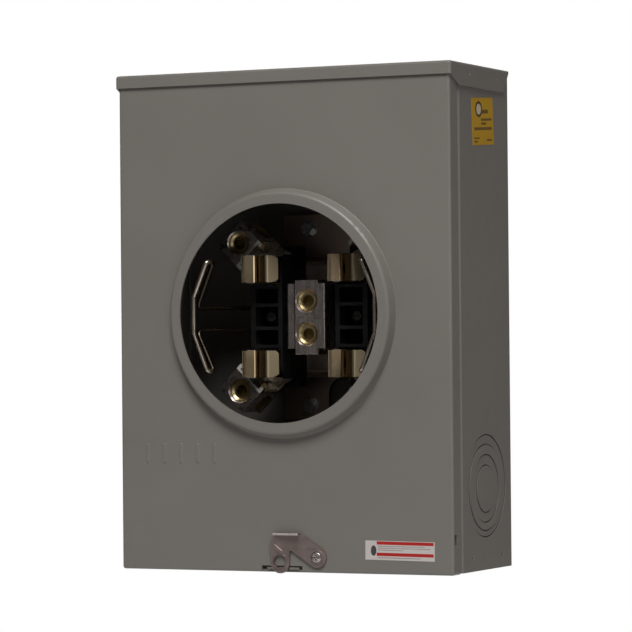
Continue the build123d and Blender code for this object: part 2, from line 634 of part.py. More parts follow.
for name, (right, up) in CORNERS.items():
    with BuildPart() as bar:
        with BuildSketch(corner_plane(name, BLOCK_END)):
            Circle(BAR_PAD_RADIUS)
            Rectangle(BAR_END, LUG_WIDTH, align=(Align.MIN, Align.CENTER))
        extrude(amount=BAR_SHEET)
        with BuildSketch(corner_plane(name, BLOCK_END)):
            with Locations(((UPRIGHT[0] + UPRIGHT[1]) / 2, 0)):
                Rectangle(UPRIGHT[1] - UPRIGHT[0], LUG_WIDTH)
        extrude(amount=LUG_FRONT - BLOCK_END)
        with BuildSketch(corner_plane(name, LUG_FRONT - TAB[2])):
            for end in (-1, 1):
                with Locations((UPRIGHT[0], end * (LUG_WIDTH - TAB[1]) / 2)):
                    Rectangle(TAB[0], TAB[1], align=(Align.MAX, Align.CENTER))
        extrude(amount=TAB[2])
        # clear of the block's barrier and of its tall middle part
        with Locations((right * (BLOCK_INNER + BARRIER + BAR_CLEAR), -LUG_FRONT, SOCKET_Z)):
            Box(
                30,
                THROUGH,
                3 * THROUGH,
                align=(Align.MAX if right > 0 else Align.MIN, Align.CENTER, Align.CENTER),
                mode=Mode.SUBTRACT,
            )
        with Locations((0, -LUG_FRONT, SOCKET_Z)):
            Box(3 * THROUGH, THROUGH, 2 * (BLOCK_MIDDLE + BAR_CLEAR), mode=Mode.SUBTRACT)
        with BuildSketch(corner_plane(name, BLOCK_END)):
            Circle(BAR_SCREW_RADIUS + SCREW_AIR)
            with Locations((LUG_OFFSET, 0)):
                Circle(LUG_SCREW_RADIUS + SCREW_AIR)
        extrude(amount=BAR_SHEET, mode=Mode.SUBTRACT)
    bar.part.label = f"terminal_bar_{name}"
    export_step(bar.part, f"parts/terminal_bar_{name}.step")

BAR_SCREW_HEAD = 3.6
BAR_SCREW_RISE = 2.4
with BuildPart() as bar_screws:
    with BuildSketch(front_plane(BAR_FACE + LEAF, z=SOCKET_Z)):
        with GridLocations(JAW_SPACING, JAW_SPACING, 2, 2):
            Circle(BAR_SCREW_HEAD)
    extrude(amount=BAR_SCREW_RISE)
    fillet(bar_screws.faces().group_by(Axis.Y)[0].edges(), radius=1.0)
    with BuildSketch(front_plane(BAR_FACE + LEAF, z=SOCKET_Z)):
        with GridLocations(JAW_SPACING, JAW_SPACING, 2, 2):
            Circle(BAR_SCREW_RADIUS)
    extrude(amount=-BAR_SCREW_DEPTH - LEAF)
    with BuildSketch(front_plane(BAR_FACE + LEAF + BAR_SCREW_RISE, z=SOCKET_Z)):
        with GridLocations(JAW_SPACING, JAW_SPACING, 2, 2):
            SlotOverall(5.4, 1.1)
    extrude(amount=-BAR_SCREW_RISE / 2, mode=Mode.SUBTRACT)
bar_screws.part.label = "bar_screws"
export_step(bar_screws.part, "parts/bar_screws.step")


# ==== Jaws: one bent strip each, and the steel spring behind one leaf ====
JAW_BASE = BAR_FACE + LEAF / 2
JAW_BASE_HALF = 8.0
CONTACT_HALF = 1.3  # centreline of a leaf where it grips the blade
CONTACT_AT = 81.0
RIDGE_HALF = 10.0
RIDGE_AT = 86.5
FLAP_HALF = 14.2
FLAP_AT = 76.0
FLAP_CHAMFER = 3.2
SPRING_SHEET = 1.0
SPRING_OVERHANG = 0.6  # above and below the jaw
SPRING_PATH = [(-8.89, -46.5), (-2.83, -80.2), (-8.0, -83.5)]  # clear of the leaf by a hair

for name, (right, up) in CORNERS.items():
    jaw_x = right * HALF_JAWS
    jaw_z = SOCKET_Z + up * HALF_JAWS
    with BuildPart() as jaw:
        with BuildSketch(Plane(origin=(jaw_x, 0, jaw_z - JAW_HEIGHT / 2), z_dir=(0, 0, 1))):
            with BuildLine():
                FilletPolyline(
                    (0, -JAW_BASE),
                    (JAW_BASE_HALF, -JAW_BASE),
                    (CONTACT_HALF, -CONTACT_AT),
                    (RIDGE_HALF, -RIDGE_AT),
                    (FLAP_HALF, -FLAP_AT),
                    radius=[1.8, 3.0, 1.7],
                )
                mirror(about=Plane.YZ)
            trace(line_width=LEAF)
        extrude(amount=JAW_HEIGHT)
        with BuildSketch(front_plane(BLOCK_END, x=jaw_x, z=jaw_z)):
            outline = Rectangle(2 * FLAP_HALF + 2 * LEAF, JAW_HEIGHT)
            chamfer(outline.vertices(), length=FLAP_CHAMFER)
        extrude(amount=THROUGH, mode=Mode.INTERSECT)
        with Locations(front_plane(BAR_FACE, x=jaw_x, z=jaw_z)):
            Cylinder(BAR_SCREW_RADIUS + SCREW_AIR, 4 * LEAF, mode=Mode.SUBTRACT)
    jaw.part.label = f"jaw_{name}"
    export_step(jaw.part, f"parts/jaw_{name}.step")

    with BuildPart() as jaw_spring:
        spring_half = JAW_HEIGHT / 2 + SPRING_OVERHANG
        with BuildSketch(Plane(origin=(jaw_x, 0, jaw_z - spring_half), z_dir=(0, 0, 1))):
            with BuildLine():
                FilletPolyline(*SPRING_PATH, radius=1.2)
            trace(line_width=SPRING_SHEET)
        extrude(amount=2 * spring_half)
        with BuildSketch(Plane.YZ.offset(jaw_x - 2 * JAW_BASE_HALF)):
            with Locations((SPRING_PATH[0][1] - 20, jaw_z)):
                RectangleRounded(44, 2 * spring_half, 5)
        extrude(amount=2 * JAW_BASE_HALF, mode=Mode.INTERSECT)
    jaw_spring.part.label = f"jaw_spring_{name}"
    export_step(jaw_spring.part, f"parts/jaw_spring_{name}.step")


# ==== Lugs with their set screws and mounting screws ====
SOCKET_HEX = 8.0
HEX_DEPTH = 7.5
SCREW_DISH = 1.3  # depth of the cone between the screw's rim and its hexagon
SCREW_MOUTH = 1.0  # countersink of its hole
SCREW_SINK = 2.5  # set screw below the face of its lug
SCREW_HOLE_DEPTH = SCREW_SINK + SET_SCREW_LENGTH + SET_SCREW_TRAVEL + 0.3
LUG_GAP = 0.1

for name in CORNERS:
    with BuildPart() as lug:
        with BuildSketch(corner_plane(name, BAR_FACE)):
            with Locations((LUG_OFFSET, 0)):
                Rectangle(LUG_LENGTH - 2 * LUG_GAP, LUG_WIDTH)
        extrude(amount=LUG_FRONT - BAR_FACE)
        fillet(lug.edges().filter_by(Axis.Y), radius=0.8)
        bore = corner_plane(name, CONDUCTOR_AT)
        with Locations(Plane(bore.from_local_coords((LUG_OFFSET, 0, 0)), z_dir=bore.y_dir)):
            Cylinder(CONDUCTOR_RADIUS, 2 * LUG_WIDTH, mode=Mode.SUBTRACT)
        with BuildSketch(corner_plane(name, LUG_FRONT)):
            with Locations((LUG_OFFSET, 0)):
                Circle(SET_SCREW_HOLE)
        extrude(amount=-SCREW_HOLE_DEPTH, mode=Mode.SUBTRACT)
        mouth = lug.edges().filter_by(GeomType.CIRCLE).group_by(Axis.Y)[0].sort_by(SortBy.RADIUS)[-1:]
        chamfer(mouth, length=SCREW_MOUTH)
        with BuildSketch(corner_plane(name, BAR_FACE)):
            with Locations((LUG_OFFSET, 0)):
                Circle(LUG_SCREW_RADIUS + SCREW_AIR)
        extrude(amount=2, mode=Mode.SUBTRACT)
    lug.part.label = f"lug_{name}"
    export_step(lug.part, f"parts/lug_{name}.step")

    with BuildPart() as set_screw:
        with BuildSketch(corner_plane(name, LUG_FRONT - SCREW_SINK)):
            with Locations((LUG_OFFSET, 0)):
                Circle(SET_SCREW_RADIUS)
        extrude(amount=-SET_SCREW_LENGTH)
        chamfer(set_screw.edges().group_by(Axis.Y)[-1], length=1.4)
        with BuildSketch(corner_plane(name, LUG_FRONT - SCREW_SINK)):
            with Locations((LUG_OFFSET, 0)):
                Circle(SET_SCREW_RADIUS - 0.6)
        extrude(amount=-SCREW_DISH, taper=50, mode=Mode.SUBTRACT)
        with BuildSketch(corner_plane(name, LUG_FRONT - SCREW_SINK)):
            with Locations((LUG_OFFSET, 0)):
                RegularPolygon(SOCKET_HEX / 2, 6, major_radius=False)
        extrude(amount=-HEX_DEPTH, mode=Mode.SUBTRACT)
    set_screw.part.label = f"set_screw_{name}"
    export_step(set_screw.part, f"parts/set_screw_{name}.step")

with BuildPart() as lug_mount_screws:
    for name in CORNERS:
        with BuildSketch(corner_plane(name, BLOCK_END)):
            with Locations((LUG_OFFSET, 0)):
                Circle(4.5)
        extrude(amount=-3)
        with BuildSketch(corner_plane(name, BLOCK_END)):
            with Locations((LUG_OFFSET, 0)):
                Circle(LUG_SCREW_RADIUS)
        extrude(amount=BAR_SHEET + 1.2)
    fillet(lug_mount_screws.faces().group_by(Axis.Y)[-1].edges(), radius=1.0)
lug_mount_screws.part.label = "lug_mount_screws"
export_step(lug_mount_screws.part, "parts/lug_mount_screws.step")


# ==== Neutral: strap on the bracket, channel, lug body and two set screws ====
NEUTRAL_STRAP_FACE = 39.0
NEUTRAL_WEB = 4.0
NEUTRAL_SHOULDER = 16.0  # half width of the channel
NEUTRAL_HALF = 9.5  # half width of the lug body
NEUTRAL_FRONT = 71.2
NEUTRAL_CHANNEL_FRONT = 72.4
NEUTRAL_Z = SOCKET_Z - 0.9
NEUTRAL_SCREWS = 25.0
NEUTRAL_SCREW_LENGTH = 8.2
NEUTRAL_HEX_DEPTH = 6.2
NEUTRAL_CHANNEL_HALF = 24.3
NEUTRAL_BODY_HALF = 28.0
NEUTRAL_GROOVE = (2.4, 1.0)  # width and depth of the groove between the screws
STRAP_SHEET = 1.5
STRAP_WIDTH = 18.0
STRAP_END = 37.0  # half height of the strap
CHANNEL_SCREW_RADIUS = 2.1

with BuildPart() as neutral_strap:
    with BuildSketch(Plane.YZ.offset(-STRAP_WIDTH / 2)):
        with BuildLine():
            FilletPolyline(
                (-BRACKET_FACE - STRAP_SHEET / 2, SOCKET_Z - STRAP_END),
                (-BRACKET_FACE - STRAP_SHEET / 2, SOCKET_Z - 26),
                (-NEUTRAL_STRAP_FACE + STRAP_SHEET / 2, SOCKET_Z - 24),
                (-NEUTRAL_STRAP_FACE + STRAP_SHEET / 2, SOCKET_Z + 24),
                (-BRACKET_FACE - STRAP_SHEET / 2, SOCKET_Z + 26),
                (-BRACKET_FACE - STRAP_SHEET / 2, SOCKET_Z + STRAP_END),
                radius=1.6,
            )
        trace(line_width=STRAP_SHEET)
    extrude(amount=STRAP_WIDTH)
    with BuildSketch(front_plane(NEUTRAL_STRAP_FACE, z=SOCKET_Z)):
        with GridLocations(1, STRAP_SCREW_PITCH, 1, 2):
            Circle(STRAP_SCREW_RADIUS + SCREW_AIR)
        Circle(CHANNEL_SCREW_RADIUS + SCREW_AIR)
    extrude(amount=BRACKET_FACE - NEUTRAL_STRAP_FACE, mode=Mode.SUBTRACT)
neutral_strap.part.label = "neutral_strap"
export_step(neutral_strap.part, "parts/neutral_strap.step")

with BuildPart() as neutral_channel:
    with BuildSketch(front_plane(NEUTRAL_STRAP_FACE, z=SOCKET_Z)):
        Rectangle(2 * NEUTRAL_SHOULDER, 2 * NEUTRAL_CHANNEL_HALF)
    extrude(amount=NEUTRAL_CHANNEL_FRONT - NEUTRAL_STRAP_FACE)
    fillet(neutral_channel.edges().filter_by(Axis.Z).group_by(Axis.Y)[0], radius=2.0)
    with BuildSketch(front_plane(NEUTRAL_CHANNEL_FRONT, z=SOCKET_Z)):
        Rectangle(2 * NEUTRAL_HALF + 0.6, THROUGH)
    extrude(amount=NEUTRAL_STRAP_FACE + NEUTRAL_WEB - NEUTRAL_CHANNEL_FRONT, mode=Mode.SUBTRACT)
    with BuildSketch(front_plane(NEUTRAL_STRAP_FACE, z=SOCKET_Z)):
        Circle(CHANNEL_SCREW_RADIUS + SCREW_AIR)
    extrude(amount=NEUTRAL_WEB, mode=Mode.SUBTRACT)
neutral_channel.part.label = "neutral_channel"
export_step(neutral_channel.part, "parts/neutral_channel.step")

with BuildPart() as neutral_body:
    with BuildSketch(front_plane(NEUTRAL_STRAP_FACE + NEUTRAL_WEB, z=NEUTRAL_Z)):
        Rectangle(2 * NEUTRAL_HALF, 2 * NEUTRAL_BODY_HALF)
    extrude(amount=NEUTRAL_FRONT - NEUTRAL_STRAP_FACE - NEUTRAL_WEB)
    fillet(neutral_body.faces().sort_by(Axis.Y)[0].edges(), radius=0.5)
    with BuildSketch(Plane(origin=(0, -CONDUCTOR_AT, SOCKET_Z - THROUGH / 2))):
        Circle(CONDUCTOR_RADIUS)
    extrude(amount=THROUGH, mode=Mode.SUBTRACT)
    with BuildSketch(front_plane(NEUTRAL_FRONT, z=NEUTRAL_Z)):
        with GridLocations(1, NEUTRAL_SCREWS, 1, 2):
            Circle(SET_SCREW_HOLE)
    extrude(amount=-SCREW_HOLE_DEPTH - NEUTRAL_SCREW_LENGTH + SET_SCREW_LENGTH, mode=Mode.SUBTRACT)
    mouths = neutral_body.edges().filter_by(GeomType.CIRCLE).group_by(Axis.Y)[0].sort_by(SortBy.RADIUS)[-2:]
    chamfer(mouths, length=SCREW_MOUTH)
    with BuildSketch(front_plane(NEUTRAL_FRONT, z=NEUTRAL_Z)):
        Rectangle(3 * NEUTRAL_HALF, NEUTRAL_GROOVE[0])
    extrude(amount=-NEUTRAL_GROOVE[1], taper=30, mode=Mode.SUBTRACT)
    with BuildSketch(front_plane(NEUTRAL_STRAP_FACE + NEUTRAL_WEB, z=SOCKET_Z)):
        Circle(CHANNEL_SCREW_RADIUS + SCREW_AIR)
    extrude(amount=2, mode=Mode.SUBTRACT)
neutral_body.part.label = "neutral_body"
export_step(neutral_body.part, "parts/neutral_body.step")

for name, up in {"upper": 1, "lower": -1}.items():
    with BuildPart() as neutral_screw:
        face = front_plane(NEUTRAL_FRONT - SCREW_SINK, z=NEUTRAL_Z + up * NEUTRAL_SCREWS / 2)
        with BuildSketch(face):
            Circle(SET_SCREW_RADIUS)
        extrude(amount=-NEUTRAL_SCREW_LENGTH)
        chamfer(neutral_screw.edges().group_by(Axis.Y)[-1], length=1.4)
        with BuildSketch(face):
            Circle(SET_SCREW_RADIUS - 0.6)
        extrude(amount=-SCREW_DISH, taper=50, mode=Mode.SUBTRACT)
        with BuildSketch(face):
            RegularPolygon(SOCKET_HEX / 2, 6, major_radius=False)
        extrude(amount=-NEUTRAL_HEX_DEPTH, mode=Mode.SUBTRACT)
    neutral_screw.part.label = f"neutral_set_screw_{name}"
    export_step(neutral_screw.part, f"parts/neutral_set_screw_{name}.step")

with BuildPart() as neutral_mount_screws:
    with BuildSketch(front_plane(BRACKET_FACE + STRAP_SHEET, z=SOCKET_Z)):
        with GridLocations(1, STRAP_SCREW_PITCH, 1, 2):
            Circle(3.8)
    extrude(amount=2.2)
    fillet(neutral_mount_screws.faces().group_by(Axis.Y)[0].edges(), radius=1.0)
    with BuildSketch(front_plane(BRACKET_FACE + STRAP_SHEET, z=SOCKET_Z)):
        with GridLocations(1, STRAP_SCREW_PITCH, 1, 2):
            Circle(STRAP_SCREW_RADIUS)
    extrude(amount=-6)
    with BuildSketch(front_plane(NEUTRAL_STRAP_FACE - STRAP_SHEET, z=SOCKET_Z)):
        Circle(4.2)
    extrude(amount=-2.5)
    with BuildSketch(front_plane(NEUTRAL_STRAP_FACE - STRAP_SHEET, z=SOCKET_Z)):
        Circle(CHANNEL_SCREW_RADIUS)
    extrude(amount=STRAP_SHEET + NEUTRAL_WEB + 1.5)
neutral_mount_screws.part.label = "neutral_mount_screws"
export_step(neutral_mount_screws.part, "parts/neutral_mount_screws.step")


# ==== Meter supports: bent wires that stand out of the blocks ====
SUPPORT_SHOULDER = (60.5, 41.0)  # x and half height of the upper and lower bends, at the rear
SUPPORT_FLARE = 3.0  # how much further out the same bends are at the front
SUPPORT_FRONT = 111.0
SUPPORT_REAR = 105.6
SUPPORT_GRIP = (74.5, (-12.8, 14.7))  # x, and the heights of the two knees
SUPPORT_BENDS = [4, 2.6, 2.6, 5]

for name, side in SIDES.items():
    leg_low, leg_high = SUPPORT_LEGS_Z
    knee_low, knee_high = SUPPORT_GRIP[1]
    shoulder_x, shoulder_z = SUPPORT_SHOULDER
    route = [
        (SUPPORT_ROOT[0], SUPPORT_ROOT[1], leg_high),
        (SUPPORT_ELBOW[0], SUPPORT_ELBOW[1], leg_high),
        (shoulder_x, SUPPORT_REAR, shoulder_z),
        (shoulder_x + SUPPORT_FLARE, SUPPORT_FRONT, shoulder_z),
        (SUPPORT_GRIP[0], SUPPORT_FRONT, knee_high),
        (SUPPORT_GRIP[0], SUPPORT_FRONT, knee_low),
        (shoulder_x + SUPPORT_FLARE, SUPPORT_FRONT, -shoulder_z),
        (shoulder_x, SUPPORT_REAR, -shoulder_z),
        (SUPPORT_ELBOW[0], SUPPORT_ELBOW[1], leg_low),
        (SUPPORT_ROOT[0], SUPPORT_ROOT[1], leg_low),
    ]
    points = [(side * x, -distance, SOCKET_Z + z) for x, distance, z in route]
    with BuildPart() as meter_support:
        with BuildLine() as wire:
            FilletPolyline(*points, radius=SUPPORT_BENDS + SUPPORT_BENDS[::-1])
        with BuildSketch(Plane(origin=wire.line @ 0, z_dir=wire.line % 0)):
            Circle(WIRE_RADIUS)
        sweep()
    meter_support.part.label = f"meter_support_{name}"
    export_step(meter_support.part, f"parts/meter_support_{name}.step")


# ==== Labels: thin blank stickers ====
LABEL = 0.15
SIDE_LABEL = (41.0, 34.8)
SIDE_LABEL_AT = (51.5, 140.3)
SIDE_LABEL_TILT = 4
FRONT_LABEL = (55.0, 14.0)
FRONT_LABEL_AT = (93.5, -173.7)
FRONT_LABEL_TILT = -0.6

with BuildPart() as side_label:
    with BuildSketch(side_plane(1, *SIDE_LABEL_AT)):
        Rectangle(*SIDE_LABEL, rotation=SIDE_LABEL_TILT)
    extrude(amount=LABEL)
side_label.part.label = "side_label"
export_step(side_label.part, "parts/side_label.step")

with BuildPart() as front_label:
    with BuildSketch(front_plane(DEPTH)):
        with Locations(FRONT_LABEL_AT):
            Rectangle(*FRONT_LABEL, rotation=FRONT_LABEL_TILT)
    extrude(amount=LABEL)
front_label.part.label = "front_label"
export_step(front_label.part, "parts/front_label.step")
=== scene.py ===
import math

import bpy
from mathutils import Matrix, Vector


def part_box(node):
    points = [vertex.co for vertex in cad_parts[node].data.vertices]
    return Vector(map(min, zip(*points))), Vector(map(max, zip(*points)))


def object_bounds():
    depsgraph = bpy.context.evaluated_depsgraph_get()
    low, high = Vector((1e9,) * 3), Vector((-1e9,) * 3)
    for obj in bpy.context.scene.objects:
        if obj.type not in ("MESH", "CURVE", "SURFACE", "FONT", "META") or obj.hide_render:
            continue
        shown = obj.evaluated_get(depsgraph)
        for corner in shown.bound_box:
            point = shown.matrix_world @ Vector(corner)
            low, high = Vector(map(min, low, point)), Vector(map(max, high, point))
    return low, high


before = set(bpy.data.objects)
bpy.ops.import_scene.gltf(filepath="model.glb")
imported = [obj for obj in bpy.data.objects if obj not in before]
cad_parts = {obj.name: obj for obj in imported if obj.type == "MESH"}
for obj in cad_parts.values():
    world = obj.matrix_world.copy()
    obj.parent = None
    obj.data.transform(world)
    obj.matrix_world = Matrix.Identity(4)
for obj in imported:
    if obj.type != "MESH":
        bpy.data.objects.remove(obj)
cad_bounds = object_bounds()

# A Mix node has one set of sockets for each kind of value; these are the colour ones.
MIX_FACTOR, MIX_UNDER, MIX_OVER, MIX_RESULT = 0, 6, 7, 2


# ---- Node helpers ----------------------------------------------------------------------------
class Shader:
    """One procedural material: a Principled shader and short calls that add nodes to it."""

    def __init__(self, name, **constants):
        """The constants are set on the shader's own sockets, with _ for a space in a socket's name."""
        self.material = bpy.data.materials.new(name)
        self.material.use_nodes = True
        self.tree = self.material.node_tree
        self.surface = self.tree.nodes["Principled BSDF"]
        for socket, value in constants.items():
            self.surface.inputs[socket.replace("_", " ")].default_value = value
        coordinates = self.tree.nodes.new("ShaderNodeTexCoord")
        self.place = coordinates.outputs["Object"]
        self.share_of_box = coordinates.outputs["Generated"]

    def node(self, kind, inputs, **settings):
        made = self.tree.nodes.new("ShaderNode" + kind)
        for key, value in settings.items():
            setattr(made, key, value)
        for key, value in inputs.items():
            if isinstance(value, bpy.types.NodeSocket):
                self.tree.links.new(value, made.inputs[key])
            else:
                made.inputs[key].default_value = value
        return made

    def link(self, socket, target):
        self.tree.links.new(socket, self.surface.inputs[target])

    def math(self, operation, *values):
        return self.node("Math", dict(enumerate(values)), operation=operation).outputs[0]

    def vector(self, operation, *values):
        """A vector operation's node; its result is in Vector, or in Value where it is one number."""
        return self.node("VectorMath", dict(enumerate(values)), operation=operation).outputs

    def axis(self, letter, vector=None):
        return self.node("SeparateXYZ", {"Vector": vector or self.place}).outputs[letter]

    def between(self, value, low, high):
        """1 where the value lies between two limits, 0 elsewhere."""
        above = self.math("GREATER_THAN", value, low)
        return self.math("MULTIPLY", above, self.math("LESS_THAN", value, high))

    def rescale(self, value, start, end, low=0.0, high=1.0):
        """A number that goes from low to high as the value goes from start to end."""
        inputs = {"Value": value, "From Min": start, "From Max": end, "To Min": low, "To Max": high}
        return self.node("MapRange", inputs).outputs["Result"]

    def noise(self, scale, detail=2.0, stretch=(1, 1, 1)):
        """Noise through the object, with its coordinates scaled along each axis first."""
        place = self.node("Mapping", {"Vector": self.place, "Scale": stretch}).outputs["Vector"]
        return self.node("TexNoise", {"Vector": place, "Scale": scale, "Detail": detail}).outputs["Fac"]

    def ramp(self, factor, *stops):
        """A colour ramp between two (position, colour) stops."""
        made = self.node("ValToRGB", {"Fac": factor})
        for element, (position, colour) in zip(made.color_ramp.elements, stops):
            element.position = position
            element.color = (*colour, 1)
        return made.outputs["Color"]

    def mix(self, factor, under, over):
        """One colour laid over what is under it, by a factor from 0 to 1."""
        inputs = {MIX_FACTOR: factor, MIX_UNDER: under, MIX_OVER: (*over, 1)}
        return self.node("Mix", inputs, data_type="RGBA").outputs[MIX_RESULT]

    def overlay(self, mask, colour, loss=0.0):
        """Another colour where the mask is 1; loss is the share of the metallic look that goes with it."""
        under = self.surface.inputs["Base Color"].links[0].from_socket
        self.link(self.mix(mask, under, colour), "Base Color")
        if loss:
            self.link(self.math("SUBTRACT", 1.0, self.math("MULTIPLY", mask, loss)), "Metallic")

    def roughen(self, noise, low, high):
        """Roughness that goes from low to high through the middle of the noise's range."""
        self.link(self.rescale(noise, 0.3, 0.7, low, high), "Roughness")

    def bump(self, *layers):
        """Bumps on top of one another, each a (height, strength, distance in metres)."""
        normal = None
        for height, strength, distance in layers:
            inputs = {"Height": height, "Strength": strength, "Distance": distance}
            if normal:
                inputs["Normal"] = normal
            normal = self.node("Bump", inputs).outputs["Normal"]
        self.link(normal, "Normal")

    def give(self, *names):
        for name in names:
            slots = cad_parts[name].data.materials
            slots.clear()
            slots.append(self.material)


# ---- Places on the frame, in metres ----------------------------------------------------------
def middle(node):
    low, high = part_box(node)
    return (Vector(low) + Vector(high)) / 2


def front(node):
    """The y of a node's foremost point: the box opens towards -Y."""
    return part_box(node)[0][1]


SHELL_LOW, SHELL_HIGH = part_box("box_shell")
# The knockout grooves and weld dents in the sides are this deep, and lie in this part of them; paint()
# darkens them as painted shade.
STRUCK_X = (SHELL_HIGH[0] - 0.0014, SHELL_HIGH[0] - 0.0006)
STRUCK_Y = (SHELL_LOW[1] + 0.0195, SHELL_HIGH[1] - 0.010)
STRUCK_Z = (SHELL_LOW[2] + 0.0063, SHELL_LOW[2] + 0.1023)

BAR_EDGE = front("terminal_bar_upper_left") + 0.0009  # in front of this a bar's edge gets a painted highlight
LIP_EDGE = front("latch") + 0.0006  # in front of this the thumb lip's edge gets a painted highlight
WIRE_THICK = 0.0036
WIRE_FRONT = front("meter_support_left") + WIRE_THICK  # behind this the wire gets painted shade
BORE_DEPTH = 0.0205  # from a lug's front face to the middle of its conductor bore
BORE_RADIUS = 0.0078

# Shares of a node's own box.
HEX_SHARE = 0.275  # half of a set screw's hexagon socket
FLAP_SHARE = 0.34  # from a jaw's middle out to where its strip folds back flat
MOUTH_SHARES = (0.55, 0.80)  # across a jaw, where the right leaf turns into the mouth


# ---- Materials -------------------------------------------------------------------------------
def paint():
    """Warm grey powder coat: fine orange peel, faint clouding, and painted shade where the sides are struck
    in.
    """
    m = Shader("grey_paint")
    clouds = m.noise(9, detail=4)
    m.link(m.ramp(clouds, (0.3, (0.155, 0.143, 0.127)), (0.7, (0.168, 0.155, 0.138))), "Base Color")
    across = m.between(m.math("ABSOLUTE", m.axis("X")), *STRUCK_X)
    beside = m.math("MULTIPLY", m.between(m.axis("Y"), *STRUCK_Y), m.between(m.axis("Z"), *STRUCK_Z))
    # Painted shade: surfaces pressed 0.6 to 1.4 mm into the sides are darkened.
    m.overlay(m.math("MULTIPLY", across, beside), (0.02, 0.018, 0.016))
    m.roughen(m.noise(60, detail=3), 0.39, 0.45)
    m.bump((m.noise(700), 0.10, 0.0002), (m.noise(12, detail=1), 0.05, 0.002))
    return m


def insulator():
    """Black moulded phenolic with a dull skin and a little dust."""
    m = Shader("black_phenolic", Specular_IOR_Level=0.2)
    dust = m.noise(90, detail=4)
    m.link(m.ramp(dust, (0.35, (0.003, 0.003, 0.0035)), (0.7, (0.007, 0.0065, 0.0065))), "Base Color")
    m.roughen(m.noise(220, detail=3), 0.45, 0.62)
    m.bump((m.noise(1500), 0.15, 0.0001))
    return m


def metal(name, dark, light, low, high, stretch=(1, 1, 1), grain=400, bump=0.08, metallic=1.0):
    """Plated metal: two tones that drift into one another, and a grain in its gloss, from low to high."""
    m = Shader(name, Metallic=metallic)
    m.link(m.ramp(m.noise(70, detail=4), (0.35, dark), (0.65, light)), "Base Color")
    streaks = m.noise(grain, detail=3, stretch=stretch)
    m.roughen(streaks, low, high)
    m.bump((streaks, bump, 0.0001))
    return m


def galvanized():
    """Hot-dip zinc gone brown: soft-edged crystals of slightly different tone."""
    m = Shader("galvanized_steel", Metallic=0.75)
    crystals = m.node("TexVoronoi", {"Vector": m.place, "Scale": 130.0, "Randomness": 1.0})
    tone = m.node("SeparateColor", {"Color": crystals.outputs["Color"]}).outputs["Red"]
    m.link(m.ramp(tone, (0.0, (0.50, 0.39, 0.32)), (1.0, (0.57, 0.45, 0.375))), "Base Color")
    m.overlay(m.noise(25, detail=3), (0.54, 0.42, 0.345))
    m.roughen(m.noise(160, detail=4), 0.30, 0.38)
    m.bump((m.noise(500), 0.02, 0.0001))
    return m


def terminal_bar():
    """Dull tinned copper bar, with a painted highlight on the edge that faces out of the box."""
    m = metal("tinned_bar", (0.22, 0.19, 0.16), (0.32, 0.29, 0.25), 0.24, 0.36, bump=0.02)
    # Painted highlight: the bar's front edge is made pale and less metallic.
    m.overlay(m.math("LESS_THAN", m.axis("Y"), BAR_EDGE), (0.52, 0.49, 0.44), loss=0.85)
    return m


def set_screw():
    """Yellow zinc plated screw, with painted shade down in its hexagon socket."""
    m = metal("yellow_zinc", (0.42, 0.31, 0.15), (0.58, 0.46, 0.26), 0.28, 0.38, grain=80, bump=0.0)
    flat = m.vector("MULTIPLY", m.share_of_box, (1, 0, 1))["Vector"]
    reach = m.vector("DISTANCE", flat, (0.5, 0, 0.5))["Value"]
    # Painted shade: the hexagon socket is darkened.
    m.overlay(m.math("LESS_THAN", reach, HEX_SHARE), (0.17, 0.125, 0.05))
    return m


def jaw():
    """Tinned copper strip: painted shade in the right leaf's mouth, and painted light, paler and less
    metallic, where it folds back flat.
    """
    m = metal("tinned_copper", (0.66, 0.49, 0.29), (0.80, 0.62, 0.40), 0.16, 0.24, grain=40, bump=0.0)
    across = m.axis("X", m.share_of_box)
    # Painted shade: the right leaf's mouth is darkened.
    m.overlay(m.between(across, *MOUTH_SHARES), (0.20, 0.15, 0.09))
    from_middle = m.math("ABSOLUTE", m.math("SUBTRACT", across, 0.5))
    # Painted light: the flat folded-back strip is made paler and less metallic.
    m.overlay(m.math("GREATER_THAN", from_middle, FLAP_SHARE), (0.37, 0.30, 0.19), loss=0.8)
    return m


def lug(node):
    """Tinned aluminium collar whose bore is coated with yellow joint compound."""
    m = metal(f"tinned_aluminium_{node}", (0.45, 0.395, 0.36), (0.57, 0.51, 0.47), 0.24, 0.38, bump=0.03)
    centre = middle(node)
    centre.y = front(node) + BORE_DEPTH
    # The bore runs at 45 degrees, across the line from the lug to the middle of the socket.
    along = Vector((-1 if centre.x * centre.z > 0 else 1, 0, 1)).normalized()
    arm = m.vector("SUBTRACT", m.place, centre)["Vector"]
    reach = m.vector("LENGTH", m.vector("CROSS_PRODUCT", arm, along)["Vector"])["Value"]
    m.overlay(m.math("LESS_THAN", reach, BORE_RADIUS), (0.20, 0.13, 0.03), loss=0.7)
    return m


def latch():
    """Zinc plated steel gone pinkish grey; the thumb lip's edge has a painted highlight."""
    m = metal("latch_steel", (0.31, 0.245, 0.225), (0.39, 0.315, 0.295), 0.42, 0.54)
    # Painted highlight: the thumb lip's front edge is made pale.
    m.overlay(m.math("LESS_THAN", m.axis("Y"), LIP_EDGE), (0.78, 0.72, 0.68))
    return m


def wire():
    """Zinc plated wire, with painted shade darkening it behind its front."""
    m = metal("plated_wire", (0.50, 0.42, 0.34), (0.62, 0.53, 0.44), 0.24, 0.34, grain=60, bump=0.0)
    # Painted shade: the wire fades dark behind its front.
    behind = m.rescale(m.axis("Y"), WIRE_FRONT, WIRE_FRONT + WIRE_THICK / 2)
    m.overlay(behind, (0.055, 0.045, 0.033))
    return m


